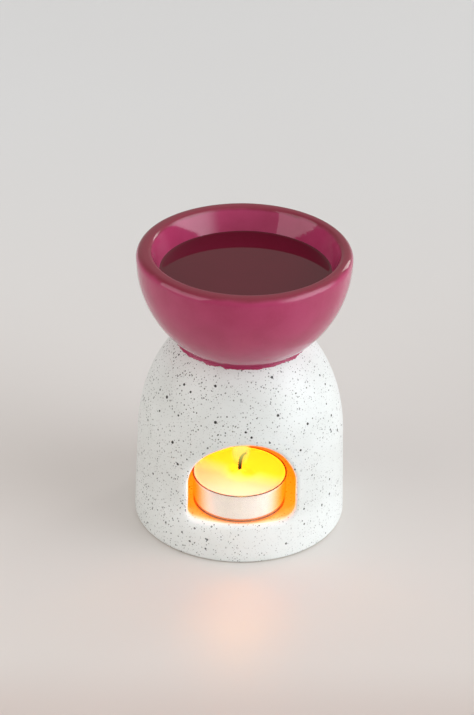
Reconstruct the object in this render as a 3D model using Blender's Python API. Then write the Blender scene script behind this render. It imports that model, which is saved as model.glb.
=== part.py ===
"""Ceramic tealight wax melter: speckled dome base, plum bowl of melted wax, and a tealight inside.

Metres, +Z up. The origin is the centre of the foot on the table, and the front opening faces -Y.
The base, the bowl and the candle are turned shapes; the front opening is cut through the dome's wall.
"""

import math

import bmesh
import bpy

MM = 0.001
GAP = 0.3 * MM                      # clearance between neighbouring pieces
SLOPE_GAP = 1.25 * GAP              # the same, measured upright at the sloping seat of the bowl
SEGMENTS = 48                       # facets round a large turned piece
SMALL_SEGMENTS = 32                 # facets round a small one

# Dome base
FOOT_OUTER_R = 41.0 * MM
FOOT_INNER_R = 36.4 * MM
FOOT_CORNER = 1.5 * MM
BASE_MAX_R = 42.5 * MM              # just above the foot
BASE_MAX_Z = 4.0 * MM
SHOULDER_R = 41.3 * MM              # half-width of the ellipse that makes the shoulder
SHOULDER_Z = 36.0 * MM              # height of its centre
SHOULDER_B = 54.8 * MM              # its half-height
WALL = 5.2 * MM
INNER_B = 49.5 * MM                 # half-height of the chamber's ellipse
FLOOR_Z = 17.2 * MM                 # the shelf the tealight stands on
FLOOR_THICK = 5.8 * MM
RECESS_R = 35.4 * MM
CORNER_FILLET = 3.0 * MM

# Front opening: straight sides, then half an ellipse that leans a little to +X, as cut by hand
OPENING_X = 1.0 * MM
OPENING_HALF_W = 21.2 * MM
OPENING_SPRING_Z = 31.0 * MM
OPENING_TOP_Z = 52.0 * MM
OPENING_LEAN = 1.3 * MM
OPENING_CORNER_LEFT = 3.2 * MM
OPENING_CORNER_RIGHT = 5.2 * MM
OPENING_EDGE_R = 2.0 * MM           # rounded outer edge
OPENING_BACK_Y = -16.0 * MM         # depth the cut reaches, inside the chamber

# Bowl
BOWL_R = 42.0 * MM                  # half-width of the outer ellipse
BOWL_Z = 114.4 * MM                 # height of its centre, where the bowl is widest
BOWL_B = 43.4 * MM                  # its half-height
BOWL_TOP_Z = 117.8 * MM
LIP_OUTER_R = 39.2 * MM             # where the lip's outer round reaches the top
LIP_INNER_R = 38.2 * MM             # where its inner round leaves the top
LIP_INNER_ROUND = 1.9 * MM
WALL_LEAN = math.radians(20)        # inner wall, from the vertical
BOWL_FLOOR_Z = 79.0 * MM
WAX_Z = 108.3 * MM                  # level of the melted wax

# Collar of slip in the V between bowl and dome
COLLAR_TOP_Z = 83.0 * MM
COLLAR_BOTTOM_Z = 77.7 * MM
COLLAR_GAP = 1.4 * GAP              # upright and outward clearance that leaves GAP square to the slopes
COLLAR_HOLLOW = 0.35 * MM

# Tealight
TEALIGHT_Y = -22.1 * MM
CUP_R = 18.9 * MM
CUP_BOTTOM_R = 18.5 * MM
CUP_H = 13.0 * MM
CUP_CORNER = 1.2 * MM
CUP_WALL = 0.5 * MM
CUP_FLOOR = 0.6 * MM
RIM_H = 0.9 * MM
RIM_OUT = 0.3 * MM
RIM_BEVEL = 0.15 * MM
CANDLE_LEVEL = 1.0 * MM             # wax below the cup's rim
CANDLE_CREEP = 0.4 * MM             # how far the wax climbs the cup's wall
CANDLE_DISH = 0.1 * MM
CONE_R = 3.3 * MM
CONE_H = 2.0 * MM
WICK_R = 0.85 * MM
DISC_R = 6.5 * MM
DISC_THICK = 0.4 * MM
NECK_H = 3.4 * MM
NECK_WALL = 0.5 * MM

CUP_Z = FLOOR_Z + GAP
CUP_FLOOR_Z = CUP_Z + CUP_FLOOR
DISC_Z = CUP_FLOOR_Z + GAP
RIM_Z = CUP_Z + CUP_H
CANDLE_Z = RIM_Z - CANDLE_LEVEL

PI = math.pi


def clear_scene():
    for obj in list(bpy.data.objects):
        bpy.data.objects.remove(obj)


def material(name, colour, roughness, metallic=0.0, alpha=1.0):
    mat = bpy.data.materials.new(name)
    mat.use_nodes = True
    shader = mat.node_tree.nodes["Principled BSDF"]
    shader.inputs["Base Color"].default_value = (*colour, 1.0)
    shader.inputs["Roughness"].default_value = roughness
    shader.inputs["Metallic"].default_value = metallic
    shader.inputs["Alpha"].default_value = alpha
    return mat


# ---------- curves used by the profiles ----------

def spread(start, end, steps):
    return [start + (end - start) * i / steps for i in range(steps + 1)]


def arc(r, z, radius, start, end, steps):
    """Points of a circular arc in the (r, z) plane; angles in radians, 0 pointing outwards."""
    return [(r + radius * math.cos(a), z + radius * math.sin(a)) for a in spread(start, end, steps)]


def ellipse_r(z, centre_z, half_w, half_h):
    """Half-width of an ellipse on the axis, at height z."""
    return half_w * math.sqrt(max(0.0, 1.0 - ((z - centre_z) / half_h) ** 2))


def ellipse_z_below(r, centre_z, half_w, half_h):
    """Height of the lower half of an ellipse on the axis, at radius r."""
    return centre_z - half_h * math.sqrt(max(0.0, 1.0 - (r / half_w) ** 2))


def crossing(gap_at, low, high):
    """The value between low and high where gap_at changes sign, by halving."""
    positive = gap_at(low) > 0
    for _ in range(50):
        middle = (low + high) / 2
        if (gap_at(middle) > 0) == positive:
            low = middle
        else:
            high = middle
    return low


def dome_r(z):
    """Outer radius of the base: corner at the foot, slight taper, then the elliptical shoulder."""
    if z >= SHOULDER_Z:
        return ellipse_r(z, SHOULDER_Z, SHOULDER_R, SHOULDER_B)
    share = (z - BASE_MAX_Z) / (SHOULDER_Z - BASE_MAX_Z)
    return BASE_MAX_R + (SHOULDER_R - BASE_MAX_R) * share


def dome_z(r):
    """Height of the shoulder at radius r."""
    return SHOULDER_Z + SHOULDER_B * math.sqrt(1.0 - (r / SHOULDER_R) ** 2)


def bowl_outer_z(r):
    """Height of the bowl's underside at radius r."""
    return ellipse_z_below(r, BOWL_Z, BOWL_R, BOWL_B)


# ---------- solids ----------

def turned(name, profile, mat, segments=SEGMENTS, centre=(0.0, 0.0)):
    """Spins a profile of (r, z) points round Z. A profile that starts off the axis is a closed ring."""
    mesh = bpy.data.meshes.new(name)
    bm = bmesh.new()
    verts = [bm.verts.new((r, 0.0, z)) for r, z in profile]
    edges = [bm.edges.new(pair) for pair in zip(verts, verts[1:])]
    if profile[0][0] > 0:
        edges.append(bm.edges.new((verts[-1], verts[0])))
    bmesh.ops.spin(bm, geom=verts + edges, cent=(0, 0, 0), axis=(0, 0, 1),
                   angle=2 * PI, steps=segments, use_merge=True)
    bmesh.ops.remove_doubles(bm, verts=bm.verts, dist=1e-6)
    bmesh.ops.recalc_face_normals(bm, faces=bm.faces)
    bm.to_mesh(mesh)
    bm.free()
    mesh.shade_smooth()
    mesh.set_sharp_from_angle(angle=math.radians(35))
    obj = bpy.data.objects.new(name, mesh)
    obj.location = (centre[0], centre[1], 0.0)
    obj.data.materials.append(mat)
    bpy.context.scene.collection.objects.link(obj)
    return obj


def opening_outline():
    """(x, z) points of the front opening, anticlockwise from the lower left, and its outward normals."""
    left = OPENING_X - OPENING_HALF_W
    right = OPENING_X + OPENING_HALF_W
    points = []
    for side, radius, start in ((left, OPENING_CORNER_LEFT, PI), (right, OPENING_CORNER_RIGHT, 1.5 * PI)):
        centre_x = side + radius if side == left else side - radius
        points += arc(centre_x, FLOOR_Z + radius, radius, start, start + PI / 2, 6)
    for a in spread(0.0, PI, 24):
        rise = math.sin(a)
        x = OPENING_X + OPENING_HALF_W * math.cos(a) + OPENING_LEAN * rise ** 2
        points.append((x, OPENING_SPRING_Z + (OPENING_TOP_Z - OPENING_SPRING_Z) * rise))
    normals = []
    for i, point in enumerate(points):
        before = points[i - 1]
        after = points[(i + 1) % len(points)]
        along_x, along_z = after[0] - before[0], after[1] - before[1]
        length = math.hypot(along_x, along_z)
        normals.append((along_z / length, -along_x / length))
    return points, normals


def opening_cutter():
    """A plug that fills the opening: straight inside, flared by a round at the dome's face.
    Each flare step is (outward, inward from the face), in edge radii, and the last one clears the face."""
    points, normals = opening_outline()
    bm = bmesh.new()
    rings = [[bm.verts.new((x, OPENING_BACK_Y, z)) for x, z in points]]
    flare = [(1 - math.cos(a), 1 - math.sin(a)) for a in spread(0.0, math.radians(72), 5)]
    flare.append((1.0, -1.0))
    for out, depth in flare:
        ring = []
        for (x, z), (nx, nz) in zip(points, normals):
            px = x + nx * out * OPENING_EDGE_R
            pz = z + nz * out * OPENING_EDGE_R
            face_y = -math.sqrt(dome_r(pz) ** 2 - px ** 2)
            ring.append(bm.verts.new((px, face_y + depth * OPENING_EDGE_R, pz)))
        rings.append(ring)
    front_y = -1.2 * BASE_MAX_R
    rings.append([bm.verts.new((vert.co.x, front_y, vert.co.z)) for vert in rings[-1]])
    count = len(points)
    for near, far in zip(rings, rings[1:]):
        for i in range(count):
            j = (i + 1) % count
            bm.faces.new((near[i], near[j], far[j], far[i]))
    bm.faces.new(rings[0])
    bm.faces.new(rings[-1])
    bmesh.ops.triangulate(bm, faces=[f for f in bm.faces if len(f.verts) > 4])
    bmesh.ops.recalc_face_normals(bm, faces=bm.faces)
    mesh = bpy.data.meshes.new("opening_cutter")
    bm.to_mesh(mesh)
    bm.free()
    cutter = bpy.data.objects.new("opening_cutter", mesh)
    cutter.hide_render = True
    cutter.display_type = "WIRE"
    bpy.context.scene.collection.objects.link(cutter)
    return cutter


def base_profile():
    """From the middle of the shelf up the chamber's wall, across the bowl's seat, down the outside and
    round the foot to the middle of the hollow underside."""
    inner_r = SHOULDER_R - WALL
    chamber_top = crossing(
        lambda r: SHOULDER_Z + INNER_B * math.sqrt(1 - (r / inner_r) ** 2) - (bowl_outer_z(r) - SLOPE_GAP),
        10 * MM, 30 * MM)
    neck = crossing(lambda r: dome_z(r) - (bowl_outer_z(r) - SLOPE_GAP), 15 * MM, 35 * MM)
    recess_z = FLOOR_Z - FLOOR_THICK
    profile = [(0.0, FLOOR_Z)]
    profile += arc(inner_r - CORNER_FILLET, FLOOR_Z + CORNER_FILLET, CORNER_FILLET, -PI / 2, 0, 3)
    profile += [(inner_r * math.cos(a), SHOULDER_Z + INNER_B * math.sin(a))
                for a in spread(0.0, math.acos(chamber_top / inner_r), 8)]
    profile += [(r, bowl_outer_z(r) - SLOPE_GAP) for r in spread(chamber_top, neck, 3)[1:]]
    profile += [(SHOULDER_R * math.cos(a), SHOULDER_Z + SHOULDER_B * math.sin(a))
                for a in spread(math.acos(neck / SHOULDER_R), 0.0, 11)[1:]]
    profile += [(dome_r(z), z) for z in spread(SHOULDER_Z, BASE_MAX_Z, 2)[1:]]
    profile += arc(FOOT_OUTER_R, FOOT_CORNER, FOOT_CORNER, 0, -PI / 2, 3)
    profile.append((FOOT_INNER_R, 0.0))
    profile += arc(RECESS_R - CORNER_FILLET, recess_z - CORNER_FILLET, CORNER_FILLET, 0, PI / 2, 3)
    profile.append((0.0, recess_z))
    return profile


def make_base(mat):
    base = turned("burner_base", base_profile(), mat)
    cutter = opening_cutter()
    cut = base.modifiers.new("front_opening", "BOOLEAN")
    cut.operation = "DIFFERENCE"
    cut.solver = "EXACT"
    cut.object = cutter
    return base


def bowl_inside(clearance, top_z):
    """Inner wall from the middle of the bowl's floor up to top_z, moved inwards by clearance: a
    spherical floor that runs into a leaning straight wall."""
    lean_sin, lean_cos = math.sin(WALL_LEAN), math.cos(WALL_LEAN)
    wall_r = LIP_INNER_R - LIP_INNER_ROUND * lean_cos
    wall_z = BOWL_TOP_Z - LIP_INNER_ROUND * (1 - lean_sin)
    centre_z = (BOWL_FLOOR_Z + wall_r * lean_cos - wall_z * lean_sin) / (1 - lean_sin)
    radius = centre_z - BOWL_FLOOR_Z - clearance
    points = arc(0.0, centre_z, radius, -PI / 2, -WALL_LEAN, 7)
    points[0] = (0.0, points[0][1])
    last_r, last_z = points[-1]
    points.append((last_r + (top_z - last_z) * math.tan(WALL_LEAN), top_z))
    return points


def bowl_profile():
    """From the middle of the underside, up the outside, over the lip and down to the bowl's floor."""
    profile = [(BOWL_R * math.cos(a), BOWL_Z + BOWL_B * math.sin(a)) for a in spread(-PI / 2, 0.0, 14)]
    profile[0] = (0.0, BOWL_Z - BOWL_B)
    lip_w, lip_h = BOWL_R - LIP_OUTER_R, BOWL_TOP_Z - BOWL_Z
    profile += [(LIP_OUTER_R + lip_w * math.cos(a), BOWL_Z + lip_h * math.sin(a))
                for a in spread(0.0, PI / 2, 5)[1:]]
    profile += arc(LIP_INNER_R, BOWL_TOP_Z - LIP_INNER_ROUND, LIP_INNER_ROUND, PI / 2, PI - WALL_LEAN, 4)
    wall = bowl_inside(0.0, WAX_Z)
    return profile + wall[::-1]


def collar_profile():
    """Ring with a slightly hollow face, GAP clear of the bowl above it and of the dome below it."""
    top_r = ellipse_r(COLLAR_TOP_Z + COLLAR_GAP, BOWL_Z, BOWL_R, BOWL_B)
    bottom_r = dome_r(COLLAR_BOTTOM_Z) + COLLAR_GAP
    inner_r = crossing(lambda r: (dome_z(r) + COLLAR_GAP) - (bowl_outer_z(r) - COLLAR_GAP), 20 * MM, 32 * MM)
    bowl_side = [(r, bowl_outer_z(r) - COLLAR_GAP) for r in spread(inner_r, top_r, 2)]
    face_r = (top_r + bottom_r) / 2 - COLLAR_HOLLOW
    return bowl_side + [(face_r, (COLLAR_TOP_Z + COLLAR_BOTTOM_Z) / 2), (bottom_r, COLLAR_BOTTOM_Z)]


def cup_profile():
    """Thin cup from the middle of its underside, round the rolled rim, to the middle of its floor."""
    outer = [(0.0, CUP_Z)]
    outer += arc(CUP_BOTTOM_R - CUP_CORNER, CUP_Z + CUP_CORNER, CUP_CORNER, -PI / 2, 0, 3)
    neck_r = CUP_R - RIM_OUT
    outer += [(neck_r, RIM_Z - RIM_H), (CUP_R, RIM_Z - RIM_H + RIM_OUT), (CUP_R, RIM_Z - RIM_BEVEL)]
    outer += [(CUP_R - RIM_BEVEL, RIM_Z), (neck_r - CUP_WALL, RIM_Z)]
    inner_r = CUP_BOTTOM_R - CUP_WALL
    inner = arc(inner_r - CUP_CORNER, CUP_FLOOR_Z + CUP_CORNER, CUP_CORNER, 0, -PI / 2, 3)
    return outer + inner + [(0.0, CUP_FLOOR_Z)]


def candle_profile():
    """Wax filling the cup: a ring round the wick, hollowed underneath for the sustainer."""
    bore = WICK_R + GAP
    neck_r = bore + NECK_WALL + GAP
    neck_top = DISC_Z + DISC_THICK + NECK_H + GAP
    disc_top = DISC_Z + DISC_THICK + GAP
    outer_r = CUP_BOTTOM_R - CUP_WALL - GAP
    top_r = CUP_R - RIM_OUT - CUP_WALL - GAP
    underside = [(bore, neck_top), (neck_r, neck_top), (neck_r, disc_top)]
    underside += [(DISC_R + GAP, disc_top), (DISC_R + GAP, DISC_Z)]
    side = arc(outer_r - CUP_CORNER, DISC_Z + CUP_CORNER, CUP_CORNER, -PI / 2, 0, 3)
    side.append((top_r, CANDLE_Z + CANDLE_CREEP))
    dish = [(top_r - 1.5 * CANDLE_CREEP, CANDLE_Z + CANDLE_DISH), (2 * CONE_R, CANDLE_Z - CANDLE_DISH)]
    for share in spread(0.0, 1.0, 4):
        r = CONE_R + (bore - CONE_R) * share
        dish.append((r, CANDLE_Z + CONE_H * share ** 1.6))
    return underside + side + dish


def sustainer_profile():
    """Disc and neck round the wick's foot."""
    bore = WICK_R + GAP
    top = DISC_Z + DISC_THICK
    return [(bore, DISC_Z), (DISC_R, DISC_Z), (DISC_R, top), (bore + NECK_WALL, top),
            (bore + NECK_WALL, top + NECK_H), (bore, top + NECK_H)]


def make_wick(mat):
    """Straight through the wax, then curled over to +X where it has burnt."""
    base_z = CANDLE_Z + CONE_H
    route = [(0.0, 0.0, DISC_Z), (0.0, 0.0, CANDLE_Z), (0.0, 0.0, base_z),
             (0.1 * MM, 0.0, base_z + 2.6 * MM), (0.45 * MM, 0.1 * MM, base_z + 4.8 * MM),
             (1.3 * MM, 0.2 * MM, base_z + 6.3 * MM), (2.5 * MM, 0.3 * MM, base_z + 7.2 * MM)]
    thickness = [1.0, 1.0, 1.0, 1.0, 0.95, 0.8, 0.6]
    curve = bpy.data.curves.new("tealight_wick", "CURVE")
    curve.dimensions = "3D"
    curve.bevel_depth = WICK_R
    curve.bevel_resolution = 2
    curve.use_fill_caps = True
    spline = curve.splines.new("POLY")
    spline.points.add(len(route) - 1)
    for point, place, width in zip(spline.points, route, thickness):
        point.co = (*place, 1.0)
        point.radius = width
    curve.materials.append(mat)
    wick = bpy.data.objects.new("tealight_wick", curve)
    bpy.context.scene.collection.objects.link(wick)
    return wick


def main():
    clear_scene()
    speckled = material("speckled_white_glaze", (0.74, 0.75, 0.72), 0.45)
    plum = material("plum_glaze", (0.36, 0.035, 0.12), 0.12)
    melt = material("melted_plum_wax", (0.16, 0.025, 0.05), 0.05)
    clear_plastic = material("clear_cup_plastic", (0.95, 0.93, 0.9), 0.1, alpha=0.4)
    candle = material("candle_wax", (0.95, 0.86, 0.62), 0.35)
    char = material("charred_cotton", (0.05, 0.02, 0.01), 0.9)
    tin = material("tinned_steel", (0.7, 0.7, 0.7), 0.3, metallic=1.0)

    make_base(speckled)
    turned("wax_bowl", bowl_profile(), plum)
    turned("joint_collar", collar_profile(), plum)
    charge = bowl_inside(GAP, WAX_Z) + [(0.0, WAX_Z)]
    turned("melted_wax", charge, melt)

    tealight = bpy.data.objects.new("tealight", None)
    tealight.location = (0.0, TEALIGHT_Y, 0.0)
    bpy.context.scene.collection.objects.link(tealight)
    pieces = [turned("tealight_cup", cup_profile(), clear_plastic, SMALL_SEGMENTS),
              turned("tealight_wax", candle_profile(), candle, SMALL_SEGMENTS),
              turned("wick_sustainer", sustainer_profile(), tin, SMALL_SEGMENTS),
              make_wick(char)]
    for piece in pieces:
        piece.parent = tealight


main()
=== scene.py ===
"""Looks for the ceramic tealight wax melter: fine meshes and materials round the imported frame.

Everything is in metres in the frame's own axes: +Z up, the front opening faces -Y, origin at the foot's
centre. Profiles are lists of (r, z); angles round the axis start at -Y and grow towards +X.
"""

import math

import bmesh
import bpy
import numpy as np
from mathutils import Matrix, Vector, noise


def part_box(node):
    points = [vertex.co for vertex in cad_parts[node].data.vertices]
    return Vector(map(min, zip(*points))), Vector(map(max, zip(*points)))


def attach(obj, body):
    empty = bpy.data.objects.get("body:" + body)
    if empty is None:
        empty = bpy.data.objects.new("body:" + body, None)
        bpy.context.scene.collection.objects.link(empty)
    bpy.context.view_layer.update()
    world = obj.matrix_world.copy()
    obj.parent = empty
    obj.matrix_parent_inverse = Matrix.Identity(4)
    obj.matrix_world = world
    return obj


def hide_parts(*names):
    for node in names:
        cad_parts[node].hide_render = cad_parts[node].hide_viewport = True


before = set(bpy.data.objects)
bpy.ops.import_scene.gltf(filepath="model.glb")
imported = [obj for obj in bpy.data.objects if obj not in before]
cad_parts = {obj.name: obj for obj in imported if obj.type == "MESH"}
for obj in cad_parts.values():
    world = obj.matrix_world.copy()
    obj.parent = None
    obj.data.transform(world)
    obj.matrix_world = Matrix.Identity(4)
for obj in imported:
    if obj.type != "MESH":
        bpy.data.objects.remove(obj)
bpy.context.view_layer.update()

MM = 0.001
PI = math.pi

# ---------- sizes read from the frame ----------
BASE_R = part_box("burner_base")[1].x
BOWL_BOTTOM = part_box("wax_bowl")[0].z
BOWL_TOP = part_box("wax_bowl")[1].z
BOWL_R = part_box("wax_bowl")[1].x
WAX_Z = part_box("melted_wax")[1].z
CUP_LOW, CUP_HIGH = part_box("tealight_cup")
CUP_Y = (CUP_LOW.y + CUP_HIGH.y) / 2
CUP_R = (CUP_HIGH.x - CUP_LOW.x) / 2
CUP_Z, RIM_Z = CUP_LOW.z, CUP_HIGH.z
WICK_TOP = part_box("tealight_wick")[1].z
WICK_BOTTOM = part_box("tealight_wick")[0].z
CANDLE_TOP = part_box("tealight_wax")[1].z

# ---------- shape of the base: the CAD's sizes, and those of its hand-cut edge ----------
GAP = 0.3 * MM                      # clearance between neighbouring pieces
SEAT_GAP = 1.25 * GAP               # the same, measured upright at the sloping seat of the bowl
BASE_WIDEST_Z = 4.0 * MM
FOOT_OUTER_R = BASE_R - 1.5 * MM
FOOT_INNER_R = 36.4 * MM
FOOT_CORNER = 1.5 * MM
# oval of the shoulder: half-width, height of the centre, half-height; the chamber's has the same centre
SHOULDER_R, SHOULDER_Z, SHOULDER_B = 41.3 * MM, 36.0 * MM, 54.8 * MM
CHAMBER_R, CHAMBER_B = 36.1 * MM, 49.5 * MM
SHELF_Z = CUP_Z - GAP
RECESS_Z = SHELF_Z - 5.8 * MM       # top of the hollow under the shelf
RECESS_R = 35.4 * MM
FILLET = 3.0 * MM

OPENING_X, OPENING_HALF_W = 1.0 * MM, 21.2 * MM
OPENING_SPRING_Z, OPENING_TOP_Z = 31.0 * MM, 52.0 * MM
OPENING_LEAN = 1.3 * MM             # how far the arch leans to +X
OPENING_CORNERS = (3.2 * MM, 5.2 * MM)
OPENING_WOBBLE = 0.35 * MM          # unevenness of the hand-cut edge
OUTER_EDGE_R = 2.0 * MM
INNER_EDGE_R = 1.2 * MM
WINDOW_LOW_Z = 9.0 * MM             # where the regular grid stops below the opening, outside
WINDOW_LOW_S = 24.0 * MM            # and on the shelf, as a distance along the section
PATCH_EASE = 1.25                   # crowds the rings round the opening towards its edge

# ---------- shape of the bowl ----------
BOWL_Z, BOWL_B = 114.4 * MM, 43.4 * MM
LIP_OUTER_R, LIP_INNER_R = 39.2 * MM, 38.2 * MM
LIP_INNER_ROUND = 1.9 * MM
WALL_LEAN = math.radians(20)        # inner wall, from the vertical
BOWL_FLOOR_Z = 79.0 * MM
BOWL_SHIFT, HOLLOW_SHIFT = 0.3 * MM, 0.5 * MM
NECK_R, NECK_Z = 25.1 * MM, 79.6 * MM

# ---------- shape of the tealight ----------
CUP_WALL, CUP_FLOOR, CUP_CORNER = 0.5 * MM, 0.6 * MM, 1.2 * MM
CUP_HOLLOW = 0.5 * MM               # depth of the hollow under the cup's floor
RIM_OUT, CUP_TAPER = 0.3 * MM, 0.4 * MM
CONE_R, CONE_H = 3.3 * MM, 2.0 * MM
CANDLE_LEVEL = CANDLE_TOP - CONE_H
FLAME_SHELLS = (3.6 * MM, 3.0 * MM, 2.3 * MM, 1.5 * MM)
FLAME_TOP = CANDLE_TOP + 21 * MM

# ---------- fineness: facets round each piece ----------
BASE_COLUMNS, BOWL_SEGMENTS, POOL_SEGMENTS, COLLAR_SEGMENTS = 180, 220, 180, 480
CANDLE_SEGMENTS, FLAME_SEGMENTS, CORD_SIDES = 128, 40, 9

# ---------- light and camera ----------
WINDOW_TARGET = (0.0, 0.0, 0.06)
FLOOR_HALF_W = 3.0
ROOM_LIGHT = (0.345, 0.33, 0.31)
# soft sky, low window at the front right, back of the room:
# direction, cosines at which the lobe starts and is full, strength, colour
ROOM_LOBES = [
    ((0.36, -0.05, 0.93), 0.35, 0.95, 0.42, (0.97, 0.99, 1.0)),
    ((0.92, -0.30, 0.24), 0.78, 0.99, 3.5, (0.94, 0.99, 1.04)),
    ((0.0, 0.85, 0.53), 0.70, 0.95, 0.10, (1.10, 0.95, 1.0)),
]
CAMERA_PLACE = Vector((-1.93, -806.2, 532.7)) * MM
CAMERA_TARGET = Vector((-1.93, 0.0, 69.36)) * MM
CAMERA_LENS = 118.28
CAMERA_ROLL = math.radians(1.14)


# ---------- mesh helpers ----------

def spread(start, end, steps):
    return [start + (end - start) * i / steps for i in range(steps + 1)]


def arc(r, z, radius, start, end, steps):
    return [(r + radius * math.cos(a), z + radius * math.sin(a)) for a in spread(start, end, steps)]


def oval(z, half_w, half_h, angles, r=0.0):
    return [(r + half_w * math.cos(a), z + half_h * math.sin(a)) for a in angles]


def straight(start, end, shares):
    """Points on the line from start to end, at shares of its length."""
    return [(start[0] + (end[0] - start[0]) * t, start[1] + (end[1] - start[1]) * t) for t in shares]


def smooth(low, high, value):
    """0 below low, 1 above high, an S-curve between."""
    t = np.clip((np.asarray(value, float) - low) / (high - low), 0.0, 1.0)
    return t * t * (3 - 2 * t)


def mesh_piece(name, verts, faces, mat):
    mesh = bpy.data.meshes.new(name)
    mesh.from_pydata([tuple(v) for v in verts], [], faces)
    mesh.validate()
    mesh.shade_smooth()
    mesh.materials.append(mat)
    piece = bpy.data.objects.new(name, mesh)
    bpy.context.scene.collection.objects.link(piece)
    return piece


def around(r, z, angle):
    return (r * math.sin(angle), -r * math.cos(angle), z)


def bridge(faces, a, b):
    """Adds the faces between two rings of vertices; a ring of one vertex is a pole."""
    count = max(len(a), len(b))
    for i in range(count):
        j = (i + 1) % count
        if len(a) == 1:
            faces.append((a[0], b[j], b[i]))
        elif len(b) == 1:
            faces.append((a[i], a[j], b[0]))
        else:
            faces.append((a[i], a[j], b[j], b[i]))


def closed_piece(name, verts, faces, mat):
    """A closed mesh with its normals turned outwards."""
    piece = mesh_piece(name, verts, faces, mat)
    bm = bmesh.new()
    bm.from_mesh(piece.data)
    bmesh.ops.remove_doubles(bm, verts=bm.verts, dist=1e-7)
    bmesh.ops.recalc_face_normals(bm, faces=bm.faces)
    bm.to_mesh(piece.data)
    bm.free()
    return piece


def turned(name, profile, segments, mat, centre_y=0.0, shift=None):
    """Solid turned from an open profile that starts and ends on the axis. shift(point) returns a
    small offset for each vertex."""
    rings, verts, faces = [], [], []
    for r, z in profile:
        count = segments if r > 1e-9 else 1
        rings.append(list(range(len(verts), len(verts) + count)))
        verts += [around(r, z, 2 * PI * j / segments) for j in range(count)]
    for a, b in zip(rings, rings[1:]):
        bridge(faces, a, b)
    if shift:
        verts = [tuple(Vector(v) + shift(Vector(v))) for v in verts]
    return closed_piece(name, [(x, y + centre_y, z) for x, y, z in verts], faces, mat)


def handmade(amount, wavelength, seed):
    """A slow radial unevenness, as in a cast and hand-finished pot."""
    def shift(point):
        value = noise.noise(point / wavelength + Vector((seed, 0.0, 0.0)))
        out = Vector((point.x, point.y, 0.0))
        fade = min(1.0, out.length / (5 * MM))
        return out.normalized() * value * amount * fade if out.length > 1e-6 else out
    return shift


# ---------- material helpers ----------

class Shader:
    """A material's node tree with short calls for adding and joining nodes."""

    def __init__(self, name):
        self.mat = bpy.data.materials.new(name)
        self.mat.use_nodes = True
        self.tree = self.mat.node_tree
        self.bsdf = self.tree.nodes["Principled BSDF"]

    def node(self, kind, inputs=None, **settings):
        made = self.tree.nodes.new("ShaderNode" + kind)
        for key, value in settings.items():
            setattr(made, key, value)
        for key, value in (inputs or {}).items():
            self.put(made.inputs[key], value)
        return made

    def put(self, socket, value):
        """Joins another node's output to the socket, or sets the socket's own value."""
        if isinstance(value, bpy.types.NodeSocket):
            self.tree.links.new(value, socket)
        elif hasattr(value, "__len__") and socket.type == "RGBA" and len(value) == 3:
            socket.default_value = (*value, 1.0)
        else:
            socket.default_value = value

    def set(self, **sockets):
        """Sets the surface's sockets by name, with _ for each space."""
        for key, value in sockets.items():
            self.put(self.bsdf.inputs[key.replace("_", " ")], value)

    def math(self, operation, a, b=0.0, clamp=False):
        made = self.node("Math", operation=operation, use_clamp=clamp)
        self.put(made.inputs[0], a)
        self.put(made.inputs[1], b)
        return made.outputs[0]

    def mix(self, factor, a, b, blend="MIX"):
        """Blends two colours; 6, 7 and 2 are the Mix node's colour sockets."""
        made = self.node("Mix", data_type="RGBA", blend_type=blend)
        self.put(made.inputs[0], factor)
        self.put(made.inputs[6], a)
        self.put(made.inputs[7], b)
        return made.outputs[2]

    def coords(self, other=None):
        """The object's own axes, or those of another object."""
        return self.node("TexCoord", object=other).outputs["Object"]

    def axis(self, which, coords=None):
        split = self.node("SeparateXYZ", {"Vector": coords or self.coords()})
        return split.outputs[which]

    def noise(self, size, detail=2.0, coords=None, rough=0.5):
        made = self.node("TexNoise", {"Vector": coords or self.coords(), "Scale": 1 / size,
                                      "Detail": detail, "Roughness": rough})
        return made.outputs["Fac"]

    def ramp(self, value, low, high, out_low=0.0, out_high=1.0):
        made = self.node("MapRange", {"From Min": low, "From Max": high,
                                      "To Min": out_low, "To Max": out_high},
                         interpolation_type="SMOOTHSTEP")
        self.put(made.inputs["Value"], value)
        return made.outputs[0]

    def vary(self, size, detail, coords, low=0.0, high=1.0):
        """A value that wanders between low and high over the surface."""
        return self.ramp(self.noise(size, detail, coords), 0.3, 0.7, low, high)

    def bump(self, height, distance, strength, after=None):
        made = self.node("Bump", {"Height": height, "Distance": distance, "Strength": strength})
        if after:
            self.put(made.inputs["Normal"], after)
        return made.outputs["Normal"]


def specks(shader, coords, cell, radius, share, softness=0.18):
    """Mask of scattered grains: one ball per cell of space, a share of them kept, of uneven radius."""
    wander = shader.node("TexNoise", {"Vector": coords, "Scale": 2 / cell, "Detail": 3.0})
    cells = shader.node("TexVoronoi", {"Vector": coords, "Scale": 1 / cell}, feature="F1")
    random = shader.node("SeparateColor", {"Color": cells.outputs["Color"]})
    size = shader.math("MULTIPLY", shader.math("POWER", random.outputs[0], 1.6), 0.8 * radius / cell)
    size = shader.math("ADD", size, 0.35 * radius / cell)
    ragged = shader.math("MULTIPLY", shader.math("SUBTRACT", wander.outputs["Fac"], 0.5), radius / cell)
    inside = shader.math("SUBTRACT", shader.math("ADD", size, ragged), cells.outputs["Distance"])
    mask = shader.ramp(inside, 0.0, radius / cell * softness)
    kept = shader.math("LESS_THAN", random.outputs[1], share)
    return shader.math("MULTIPLY", mask, kept)


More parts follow.
